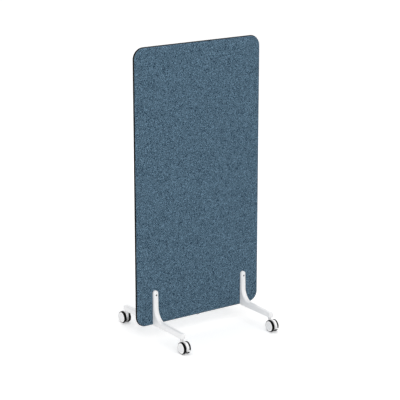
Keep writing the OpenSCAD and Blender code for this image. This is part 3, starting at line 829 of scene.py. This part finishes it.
@dataclass
class Cover:
    """One fabric cover: a taut face over soft wadding, a round edge and a hem at the zip."""

    shape: PanelShape
    side: Side
    cloth: float = 1.0 * MM
    crown: float = 0.75 * MM
    press: float = 0.12 * MM
    swell: float = 0.45 * MM
    swell_reach: float = 9 * MM
    uneven: float = 0.10 * MM
    pucker: float = 0.28 * MM
    pucker_pitch: float = 9 * MM
    hem: float = 4.6 * MM
    hem_rise: float = 0.32 * MM
    fold: float = 0.5 * MM
    row_step: float = 0.7 * MM
    columns_across: int = 112
    columns_up: int = 218
    stitch_pitch: float = 4.2 * MM
    stitch_length: float = 3.3 * MM
    stitch_inset: float = 1.3 * MM
    thread_radius: float = 0.27 * MM
    thread_rise: float = 0.10 * MM
    thread_dip: float = 1.1 * MM

    def edge_distances(self) -> tuple[Array, Array, Array, Array]:
        """Distances along the face's four sides, which meet halfway round its corners.

        Returns:
            The lower, the right, the upper and the left side, in the order of the walk.
        """
        outline = self.shape.rim
        low = outline.half_width - outline.radius + math.pi / 4 * outline.radius
        side = outline.length / 2 - 2 * low
        lower = np.linspace(-low, low, self.columns_across + 1)
        right = np.linspace(low, low + side, self.columns_up + 1)
        return lower, right, lower + outline.length / 2, right + outline.length / 2

    def loop(self) -> Array:
        """The four sides' distances in one round, each place once."""
        return np.concatenate([side[:-1] for side in self.edge_distances()])

    def face_plan(self) -> Array:
        """The face's grid in its plane, as a Coons patch between its four sides.

        P(u, v) = (1-v) lower + v upper + (1-u) left + u right, less the same blend of the
        corners.

        Returns:
            Points by row and column, with a last axis of x and z.
        """
        walk = self.shape.rim.walk
        lower, right, upper, left = (walk(side)[0] for side in self.edge_distances())
        upper, left = upper[::-1], left[::-1]
        u = np.linspace(0, 1, self.columns_across + 1)[None, :, None]
        v = np.linspace(0, 1, self.columns_up + 1)[:, None, None]
        sides = (1 - v) * lower[None] + v * upper[None]
        sides = sides + (1 - u) * left[:, None] + u * right[:, None]
        low_corners = (1 - u) * lower[0] + u * lower[-1]
        high_corners = (1 - u) * upper[0] + u * upper[-1]
        return sides - ((1 - v) * low_corners + v * high_corners)

    def face_rise(self, x: Array, z: Array) -> Array:
        """How far the cloth stands in front of the panel's nominal face.

        A flat crown that falls to nothing at the edge, a few slow waves of 13 to 27 cm, cloth
        pressed in under the feet and swelling a little beside them.

        Args:
            x: Places along the panel.
            z: Heights above the floor.

        Returns:
            The rise at each place.
        """
        outline = self.shape.rim
        up = z - self.shape.middle_z
        inside = 1 - np.clip(np.abs(x) / outline.half_width, 0, 1) ** 8
        inside = inside * (1 - np.clip(np.abs(up) / outline.half_height, 0, 1) ** 14)
        waves = np.sin(31 * x + 7 * up) + np.sin(23 * up - 11 * x + 1.3)
        waves = waves + np.sin(47 * x + 0.4) * np.cos(39 * up)
        gap = self.shape.beside_feet(x, z)
        near = smooth_step(gap / self.swell_reach)
        past = np.maximum(gap - self.swell_reach, 0) / self.swell_reach
        bulge = self.swell * near * np.exp(-np.square(past))
        free = self.crown * inside + self.uneven * waves * inside + bulge * inside
        return near * free - (1 - near) * self.press

    def edge_rows(self) -> tuple[Array, Array, Array]:
        """Rows from the face over the round edge to the hem's fold.

        Returns:
            For each row its angle round the edge, how far it stands out, and how much the
            puckers of the corners show in it.
        """
        radius, stop = self.shape.half_thickness, self.shape.hem_start
        hem = stop + self.hem / radius
        step = self.row_step / radius
        plain = np.linspace(math.pi / 2, hem + 2 * step, 8)
        raised = np.linspace(hem, stop + self.fold / radius, 5)
        angles = np.concatenate([plain, [hem + step], raised])
        foot = [self.hem_rise * 0.35]
        rise = np.concatenate([np.zeros(len(plain)), foot, np.full(len(raised), self.hem_rise)])
        ruffle = smooth_step((math.pi / 2 - angles) / (math.pi / 2 - stop))
        return angles, rise, ruffle

    def ruffles(self, distance: Array) -> Array:
        """Small uneven gathers of the cloth in the panel's corners.

        Args:
            distance: Distances walked along the face's rim.

        Returns:
            How far the cloth stands out at each.
        """
        _, normal = self.shape.rim.walk(distance)
        in_corner = np.clip(4 * np.square(normal[..., 0] * normal[..., 1]), 0, 1)
        turn = 2 * math.pi / self.pucker_pitch
        return self.pucker * in_corner * np.sin(turn * distance + 1.7 * np.sin(97 * distance))

    def outer_and_fold(self) -> Skin:
        """The cloth from the face's edge over the hem, round its fold and back underneath.

        Returns:
            The cloth's surface round the edge.
        """
        shape = self.shape
        thick = shape.half_thickness
        loop = self.loop()
        angles, rise, ruffle = self.edge_rows()
        gathers = self.ruffles(loop)[None]
        radius = thick + rise[:, None] + ruffle[:, None] * gathers
        outer = shape.round_edge(loop[None], radius, angles[:, None])
        turn = np.linspace(0, math.pi, 6)[1:-1]
        middle, last = thick + self.hem_rise - self.fold, angles[-1]
        fold_radius = middle + self.fold * np.cos(turn)[:, None] + gathers
        fold_angle = last - self.fold * np.sin(turn) / thick
        fold = shape.round_edge(loop[None], fold_radius, fold_angle[:, None])
        inner_angles = np.concatenate([[last], np.linspace(last + 0.12, math.pi / 2, 7)])
        inner_radius = np.full(len(inner_angles), thick - self.cloth)
        inner_radius[0] = middle - self.fold
        inner = shape.round_edge(loop[None], inner_radius[:, None], inner_angles[:, None])
        points = np.concatenate([outer, fold, inner])
        steps = np.linalg.norm(np.diff(points[:, 0], axis=0), axis=-1)
        walked = np.concatenate([[0], np.cumsum(steps)])
        base, out = shape.rim.walk(np.append(loop, loop[0]))
        places = base[None] + walked[:, None, None] * out[None]
        return Skin.grid(points, places, closed=True).turned_over()

    @staticmethod
    def sheet(plan: Array, depth: Array | float) -> Skin:
        """The face's grid at some depth in front of the panel's middle."""
        x, z, y = np.broadcast_arrays(plan[..., 0], plan[..., 1], -depth)
        return Skin.grid(np.stack([x, y, z], axis=-1), plan)

    def face(self, inner: bool) -> Skin:
        """The flat of the cover, outside or inside.

        Args:
            inner: Whether it is the cloth's hidden side.

        Returns:
            The surface of the flat.
        """
        plan = self.face_plan()
        thick = self.shape.half_thickness
        if inner:
            return self.sheet(plan, thick - self.cloth).turned_over()
        depth = thick + self.face_rise(plan[..., 0], plan[..., 1])
        depth[[0, -1]] = depth[:, [0, -1]] = thick
        return self.sheet(plan, depth)

    def stitch(self) -> Skin:
        """One stitch of length 1: a grain of thread whose closed ends are sunk in the cloth.

        Returns:
            The stitch, along X, with Z up from the cloth.
        """
        t = np.linspace(-0.5, 0.5, 6)
        thick = self.thread_radius * np.sqrt(np.clip(1 - (2 * t) ** 6, 0, 1))
        rise = self.thread_rise - self.thread_dip * np.abs(t) ** 3
        turn = np.linspace(0, 2 * math.pi, 7)[:-1]
        ring = np.stack([
            np.broadcast_to(t[:, None], (len(t), len(turn))),
            thick[:, None] * np.cos(turn)[None],
            rise[:, None] + thick[:, None] * np.sin(turn)[None],
        ], axis=-1)
        return Skin.grid(ring, closed=True)

    def stitches(self) -> Skin:
        """A row of stitches along the hem, whose lengths differ a little.

        Returns:
            All the stitches as one surface.
        """
        shape = self.shape
        thick = shape.half_thickness
        count = shape.rim.count(self.stitch_pitch, thick)
        distance = shape.evenly(count)
        angle = shape.hem_start + (self.hem - self.stitch_inset) / thick
        radius = thick + self.hem_rise + self.ruffles(distance) * 0.8
        origins = shape.round_edge(distance, radius, angle)
        outward = shape.round_edge(distance, radius + 1, angle) - origins
        along, _ = shape.edge_axes(distance)
        length = self.stitch_length * (1 + 0.06 * np.sin(12.9 * np.arange(count)))
        axes = [along * length[:, None], np.cross(outward, along), outward]
        return Skin.copies(self.stitch(), np.stack(axes, axis=1), origins)

    def build(self, materials: Materials) -> None:
        """Makes the cover and its stitches, and lets the cover stand for the frame's.

        Args:
            materials: The finishes, by look.
        """
        skin = Skin.joined([self.outer_and_fold(), self.face(inner=False), self.face(inner=True)])
        seam = self.stitches()
        if self.side is Side.BACK:
            skin, seam = skin.mirrored(1), seam.mirrored(1)
        piece = skin.piece(f"{self.side}_cloth", materials[Look.CLOTH])
        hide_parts(f"{self.side}_cover")
        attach(piece, "root")
        row = seam.piece(f"{self.side}_hem_stitches", materials[Look.THREAD])
        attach(row, "root")
        faces = len(skin.faces), len(seam.faces)
        LOG.info("%s cover: %d faces, %d faces of stitches", self.side, *faces)


@dataclass
class Wadding:
    """The soft felt between a cover and the frame, which the cover hides."""

    shape: PanelShape
    side: Side
    cover_thickness: float = 1.0 * MM
    clear: float = 0.15 * MM

    def build(self, materials: Materials) -> None:
        """Carries the felt over the face and the edge, a little thinner than its space.

        Args:
            materials: The finishes, by look.
        """
        shape = self.shape
        cover = Cover(shape, self.side, columns_across=40, columns_up=80)
        outside = shape.half_thickness - self.cover_thickness - self.clear
        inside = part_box("core_board")[1].y + self.clear
        turn_in = np.linspace(math.pi / 2, math.asin(2 * self.clear / outside), 9)
        angles = np.concatenate([turn_in, turn_in[::-1]])
        radii = np.repeat([outside, inside], len(turn_in))
        edge = shape.round_edge(cover.loop()[None], radii[:, None], angles[:, None])
        skins = [Skin.grid(edge, closed=True).turned_over()]
        plan = cover.face_plan()
        skins += [cover.sheet(plan, outside), cover.sheet(plan, inside).turned_over()]
        skin = Skin.joined(skins)
        if self.side is Side.BACK:
            skin = skin.mirrored(1)
        piece = skin.piece(f"{self.side}_felt", materials[Look.FELT])
        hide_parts(f"{self.side}_wadding")
        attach(piece, "root")
        LOG.info("%s wadding: %.1f mm thick", self.side, (outside - inside) / MM)


# The tape's section in millimetres: across from the panel's middle, and above its underside.
# It is walked round: over the corded edge beside the teeth, along the top and back below.
TAPE_SECTION = np.array([
    (1.0, 0.3), (1.2, 0.62), (1.7, 0.9), (2.2, 0.9), (2.6, 0.66), (3.0, 0.52), (4.2, 0.5),
    (5.4, 0.5), (5.9, 0.4), (6.3, 0.2), (7.1, 0.1), (7.1, 0.0), (6.2, 0.0), (4.2, 0.0),
    (2.2, 0.0), (1.2, 0.0), (1.0, 0.1),
])
# A tooth's plan in millimetres: reach across the zip, and half width there.
TOOTH_PLAN = np.array([(-0.8, 0.55), (-0.2, 0.86), (0.6, 0.62), (2.5, 0.54)])
# A tooth's rings: share of the half width, and height in millimetres.
TOOTH_RINGS = ((0.0, 0.05), (1.0, 0.05), (1.0, 0.80), (0.62, 1.15), (0.0, 1.15))


@dataclass
class Zip:
    """The zip that runs round the whole edge: two woven tapes and a chain of moulded teeth."""

    shape: PanelShape
    tape_thickness: float = 0.55 * MM
    tooth_pitch: float = 3.0 * MM
    tooth_middle: float = 0.74 * MM
    tooth_taper: float = 0.12
    tooth_height: float = 1.2 * MM
    steps: int = 880

    def tape(self) -> Skin:
        """One tape: a flat band with a corded edge beside the teeth.

        Returns:
            The front tape's surface.
        """
        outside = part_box("front_zip_tape")[1].x - self.shape.rim.half_width
        across, above = TAPE_SECTION.T * MM
        radius = outside - self.tape_thickness + above
        distance, angle = self.shape.evenly(self.steps), np.arcsin(across / outside)
        points = self.shape.round_edge(distance[None], radius[:, None], angle[:, None])
        points = np.concatenate([points, points[:1]])
        walked = np.linspace(0, self.shape.rim.length, self.steps + 1)
        section = np.append(across, across[0])
        places = np.stack(np.broadcast_arrays(walked[None], section[:, None]), axis=-1)
        return Skin.grid(points, places, closed=True)

    def tooth(self) -> Skin:
        """One tooth, from its tape across the middle to a rounded head.

        Rings carry it from the middle line of its base out to its sides, over its shoulders
        and in to the ridge on its top.

        Returns:
            The tooth, with X along the zip, Y towards its tape and Z outwards.
        """
        reach, half = TOOTH_PLAN.T * MM
        rows = []
        for share, height in TOOTH_RINGS:
            taper = 1 - self.tooth_taper * (height > 1)
            inset = (reach - self.tooth_middle) * taper + self.tooth_middle
            lift = np.full(len(reach), height * MM)
            right = np.stack([half * share, inset, lift], axis=-1)
            rows.append(np.concatenate([right, right[::-1] * np.array([-1, 1, 1])]))
        return Skin.grid(np.stack(rows), closed=True)

    def teeth(self) -> Skin:
        """Teeth by turns from the front tape and from the back tape.

        Returns:
            All the teeth as one surface.
        """
        shape = self.shape
        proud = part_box("zip_chain")[1].x - shape.half_width
        radius = shape.half_thickness + proud - self.tooth_height
        count = 2 * shape.rim.count(self.tooth_pitch, radius)
        distance = shape.evenly(count)
        origins = shape.round_edge(distance, radius, 0.0)
        along, outward = shape.edge_axes(distance)
        towards_tape = np.where(np.arange(count) % 2 == 0, -1.0, 1.0)[:, None]
        axes = [along * -towards_tape, towards_tape * np.array([[0.0, 1.0, 0.0]]), outward]
        return Skin.copies(self.tooth(), np.stack(axes, axis=1), origins)

    def build(self, materials: Materials) -> None:
        """Makes the tapes and the teeth, and lets them stand for the frame's plain ones.

        Args:
            materials: The finishes, by look.
        """
        front = self.tape()
        for side, skin in ((Side.FRONT, front), (Side.BACK, front.mirrored(1))):
            piece = skin.piece(f"{side}_tape", materials[Look.TAPE])
            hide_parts(f"{side}_zip_tape")
            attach(piece, "root")
        chain = self.teeth().piece("zip_teeth", materials[Look.TEETH])
        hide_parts("zip_chain")
        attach(chain, "root")
        LOG.info("zip: %d vertices of teeth", len(chain.data.vertices))


# ---------- frame, feet and castors ----------


def dress(names: Iterable[str], material: Material) -> None:
    """Gives frame pieces their finish.

    Args:
        names: The pieces' names.
        material: Their finish.
    """
    for name in names:
        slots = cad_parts[name].data.materials
        slots.clear()
        slots.append(material)


def soften(name: str, width: float) -> None:
    """Rounds a frame piece's sharp edges, a width wide, as casting or moulding leaves them.

    Args:
        name: The piece's name.
        width: Width of the rounding.
    """
    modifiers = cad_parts[name].modifiers
    weld = modifiers.new("close", "WELD")
    weld.merge_threshold = 2e-6
    bevel = modifiers.new("soften", "BEVEL")
    bevel.width = width
    bevel.segments = 3
    bevel.limit_method = "ANGLE"
    bevel.angle_limit = math.radians(28)
    even = modifiers.new("even", "WEIGHTED_NORMAL")
    even.weight = 80


def dress_frame(materials: Materials) -> None:
    """Finishes the hidden frame, the fasteners and the stems.

    Args:
        materials: The finishes, by look.
    """
    dress(["top_rail", "bottom_rail"], materials[Look.RAIL])
    posts = ["left_stile", "right_stile", "corner_blocks", "foot_blocks", "corner_dowels"]
    dress(posts, materials[Look.POST])
    dress(["core_board"], materials[Look.CORE])
    dress(["foot_bolts", "foot_sleeve_nuts"], materials[Look.OXIDE])
    dress(["foot_pins", "castor_stems", "zip_slider"], materials[Look.ZINC])
    LOG.info("frame and fasteners")


@dataclass
class Foot:
    """One cast foot bracket."""

    name: str
    edge: float = 0.9 * MM

    def build(self, materials: Materials) -> None:
        """Coats the casting and rounds its edges.

        Args:
            materials: The finishes, by look.
        """
        dress([self.name], materials[Look.COAT])
        soften(self.name, self.edge)
        LOG.info("%s", self.name)


# Sections of a wheel in millimetres: radius, and place along the axle from the inner face.
# Rim, web and boss of the hub, with the tyre's seat and the cap's recess.
HUB_SECTION = np.array([
    (3.05, 0.0), (7.5, 0.0), (7.5, 7.0), (25.0, 7.0), (25.0, 0.0), (28.5, 0.0), (28.5, 4.0),
    (27.0, 4.0), (27.0, 10.0), (28.5, 10.0), (28.5, 13.4), (27.9, 14.0), (20.1, 14.0),
    (19.3, 13.5), (19.3, 11.0), (3.05, 11.0),
])
# A tread with a wide round shoulder on its outer side, locked into the hub's groove.
TYRE_SECTION = np.array([
    (28.5, 0.0), (30.9, 0.0), (32.1, 0.8), (32.5, 3.0), (32.5, 10.2), (31.9, 12.2),
    (30.7, 13.4), (29.2, 14.0), (28.5, 13.9), (28.5, 10.0), (27.0, 10.0), (27.0, 4.0),
    (28.5, 4.0),
])
TREAD = slice(1, 8)  # the tyre's corners that meet the floor or the eye
# A snap-in cap: a shallow dome with a rounded rim, closed on the axle.
CAP_SECTION = np.array([
    (0.0, 14.1), (5.0, 14.09), (10.0, 14.06), (15.0, 13.98), (17.2, 13.9), (18.0, 13.8),
    (18.6, 13.6), (18.9, 13.3), (19.0, 12.9), (19.0, 11.1), (17.2, 11.1), (17.2, 12.3),
    (0.0, 12.3),
])


@dataclass
class Wheel:
    """One castor wheel: hub, tyre and cap, each turned from its section."""

    castor: str
    side: str
    segments: int = 96
    hub_edge: float = 0.45 * MM
    tyre_edge: float = 0.3 * MM
    tread_edge: float = 1.1 * MM

    @property
    def prefix(self) -> str:
        """Start of the names of this wheel's frame pieces."""
        return f"{self.castor}_{self.side}"

    def turned(self, name: str, section: Array, material: Material) -> bpy.types.Object:
        """Turns a section round the axle: centre + r * (cos, sin) across and w along X.

        Args:
            name: The piece's name.
            section: Radius and place along the axle, one in a row.
            material: The finish.

        Returns:
            The piece.
        """
        low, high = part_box(f"{self.prefix}_tyre")
        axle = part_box(f"{self.castor}_axle")
        outwards = 1.0 if low.x > (axle[0].x + axle[1].x) / 2 else -1.0
        inner_face = low.x if outwards > 0 else high.x
        turn = (np.arange(self.segments) * 2 * math.pi / self.segments)[None]
        r, w = section.T[:, :, None]
        points = np.stack([
            inner_face + outwards * np.broadcast_to(w, (len(section), self.segments)),
            (low.y + high.y) / 2 + r * np.cos(turn),
            (low.z + high.z) / 2 + r * np.sin(turn),
        ], axis=-1)
        skin = Skin.grid(points, closed=True)
        piece = (skin if outwards < 0 else skin.turned_over()).piece(name, material)
        shape = bmesh.new()
        shape.from_mesh(piece.data)
        bmesh.ops.dissolve_degenerate(shape, edges=shape.edges, dist=1e-7)
        bmesh.ops.recalc_face_normals(shape, faces=shape.faces)
        shape.to_mesh(piece.data)
        shape.free()
        return piece

    def build(self, materials: Materials) -> None:
        """Makes the three parts and lets them stand for the frame's.

        Args:
            materials: The finishes, by look.
        """
        hub_cuts = np.full(len(HUB_SECTION), self.hub_edge)
        tyre_cuts = np.full(len(TYRE_SECTION), self.tyre_edge)
        tyre_cuts[TREAD] = self.tread_edge
        parts = (
            ("hub", eased_ring(HUB_SECTION * MM, hub_cuts), Look.PLASTIC, "castor_plastic"),
            ("tyre", eased_ring(TYRE_SECTION * MM, tyre_cuts), Look.RUBBER, "tyre_rubber"),
            ("cap", CAP_SECTION * MM, Look.CAP, "cap_plastic"),
        )
        for part, section, look, slot in parts:
            piece = self.turned(f"{self.prefix}_{part}_turned", section, materials[look])
            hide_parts(f"{self.prefix}_{part}")
            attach(piece, f"{self.prefix}_wheel")
        LOG.info("%s wheel", self.prefix)


@dataclass
class Castor:
    """One twin-wheel swivel castor with its hood, axle and brake lever."""

    name: str
    hood_edge: float = 0.8 * MM
    lever_edge: float = 0.6 * MM

    def build(self, materials: Materials) -> None:
        """Dresses the hood, the lever and the axle, and turns the two wheels.

        Args:
            materials: The finishes, by look.
        """
        dress([f"{self.name}_hood", f"{self.name}_brake_lever"], materials[Look.PLASTIC])
        soften(f"{self.name}_hood", self.hood_edge)
        soften(f"{self.name}_brake_lever", self.lever_edge)
        dress([f"{self.name}_axle"], materials[Look.ZINC])
        for side in ("outer", "inner"):
            Wheel(self.name, side).build(materials)
        LOG.info("%s castor", self.name)


# ---------- studio ----------


@dataclass(frozen=True)
class Lamp:
    """A square soft light that the camera doesn't see."""

    name: str
    place: Colour
    size: float
    watts: float

    def hang(self, target: Colour) -> None:
        """Adds the lamp, facing the target.

        Args:
            target: What the lamp faces.
        """
        data = bpy.data.lights.new(self.name, "AREA")
        data.size = self.size
        data.energy = self.watts
        lamp = bpy.data.objects.new(self.name, data)
        aim = np.array(target) - np.array(self.place)
        tilt = math.atan2(math.hypot(aim[0], aim[1]), -aim[2])
        lamp.location = self.place
        lamp.rotation_euler = (tilt, 0.0, math.atan2(aim[1], aim[0]) - math.pi / 2)
        lamp.visible_camera = False
        bpy.context.scene.collection.objects.link(lamp)


@dataclass(frozen=True)
class Studio:
    """White floor, soft light and the camera at the photograph's place."""

    lens_mm: float = 132.39
    place: Colour = (-4.3472, -6.2170, 2.81605)
    yaw: float = 35.053
    pitch: float = 15.449
    sky: float = 0.66
    floor_size: float = 60.0
    floor_colours: tuple[Colour, Colour] = (srgb(244, 244, 244), srgb(247, 247, 247))
    floor_lift: Ramp = (1.0, 4.5, 0.29, 0.42)
    target: Colour = (0.0, 0.0, 0.7)
    lamps: tuple[Lamp, ...] = (
        Lamp("key", (-2.6, -4.6, 3.6), 3.2, 70.0),
        Lamp("overhead", (0.3, -0.6, 4.6), 3.6, 50.0),
        Lamp("fill_left", (-4.6, 0.4, 1.6), 3.0, 18.0),
        Lamp("fill_back", (2.8, 4.4, 3.2), 3.4, 32.0),
    )

    def camera(self) -> None:
        """Sets the camera, upright, looking along the yaw and down by the pitch."""
        data = bpy.data.cameras.new("camera")
        data.lens = self.lens_mm
        data.clip_end = 200.0
        camera = bpy.data.objects.new("camera", data)
        camera.location = self.place
        camera.rotation_euler = (math.radians(90 - self.pitch), 0.0, math.radians(-self.yaw))
        bpy.context.scene.collection.objects.link(camera)
        bpy.context.scene.camera = camera

    def world(self) -> None:
        """An even pale sky that shows as plain white to the camera and in reflections."""
        tree = Tree(bpy.data.worlds.new("sky"))
        strength = tree.stretch(tree.seen(), (0.0, 1.0, self.sky, 1.0))
        sky = tree.add("ShaderNodeBackground", {"Color": WHITE, "Strength": strength})
        tree.add("ShaderNodeOutputWorld", {"Surface": sky.outputs[0]})
        bpy.context.scene.world = tree.owner

    def floor(self) -> None:
        """A pale matt floor that keeps the object's soft shadow.

        It is lifted to white only for the camera and in reflections, and less near the object.
        """
        tree = Shading("studio_floor")
        cloud = tree.noise(tree.place(), 0.7, 2.0)
        far = tree.add("ShaderNodeVectorMath", {0: tree.place()}, operation="LENGTH")
        lift = tree.stretch(far.outputs["Value"], self.floor_lift)
        ground = tree.shade(
            Base_Color=tree.between(cloud, *self.floor_colours), Roughness=0.9,
            Emission_Color=WHITE, Emission_Strength=tree.math("MULTIPLY", tree.seen(), lift),
        )
        half = self.floor_size / 2
        corners = [[(x, y, 0.0) for x in (-half, half)] for y in (-half, half)]
        Skin.grid(np.array(corners)).piece("floor", ground)

    def build(self) -> None:
        """Sets up everything that isn't part of the object."""
        self.camera()
        self.world()
        self.floor()
        for lamp in self.lamps:
            lamp.hang(self.target)
        bpy.context.scene.view_settings.view_transform = "Standard"
        LOG.info("studio")


# ---------- the whole ----------


def main() -> None:
    """Builds the scene piece by piece."""
    logging.basicConfig(level=logging.INFO, format="%(name)s: %(message)s")
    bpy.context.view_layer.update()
    materials = {look: look.value.material() for look in Look}
    shape = PanelShape.measured()
    for side in Side:
        Cover(shape, side).build(materials)
        Wadding(shape, side).build(materials)
    Zip(shape).build(materials)
    dress_frame(materials)
    for corner in (f"{end}_{hand}" for end in ("front", "back") for hand in ("left", "right")):
        Foot(f"{corner}_foot").build(materials)
        Castor(corner).build(materials)
    Studio().build()


if __name__ == "__main__":
    main()
